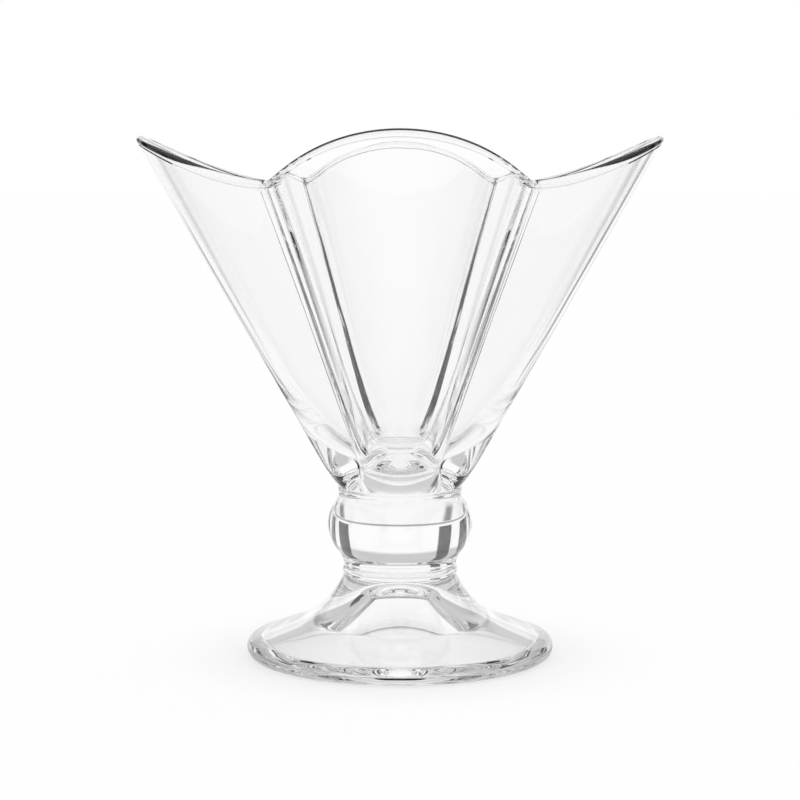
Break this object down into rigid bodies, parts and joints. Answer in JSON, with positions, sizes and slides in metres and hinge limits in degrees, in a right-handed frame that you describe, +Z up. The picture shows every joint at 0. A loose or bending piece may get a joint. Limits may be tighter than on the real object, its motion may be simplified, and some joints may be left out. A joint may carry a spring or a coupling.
{
  "type": "parfait glass",
  "caption": "Footed dessert glass of clear pressed glass: flared petal bowl with a waved rim on a ball knop and a round foot, hollow underneath.",
  "frame": {"origin": "centre of the ring under the foot that rests on the table", "axes": "+Z up the glass's axis, a petal of the bowl along each of +X, +Y, -X and -Y, front towards -Y"},
  "size_m": [0.1196, 0.1196, 0.1195],
  "materials": {
    "bowl_glass": "clear pressed glass, fire-polished smooth",
    "stem_glass": "clear pressed glass, fire-polished smooth",
    "foot_glass": "clear pressed glass, fire-polished smooth"
  },
  "bodies": {
    "root": {"bowl": "bowl_glass", "upper_collar": "stem_glass", "knop": "stem_glass", "lower_collar": "stem_glass", "foot": "foot_glass"}
  },
  "joints": []
}
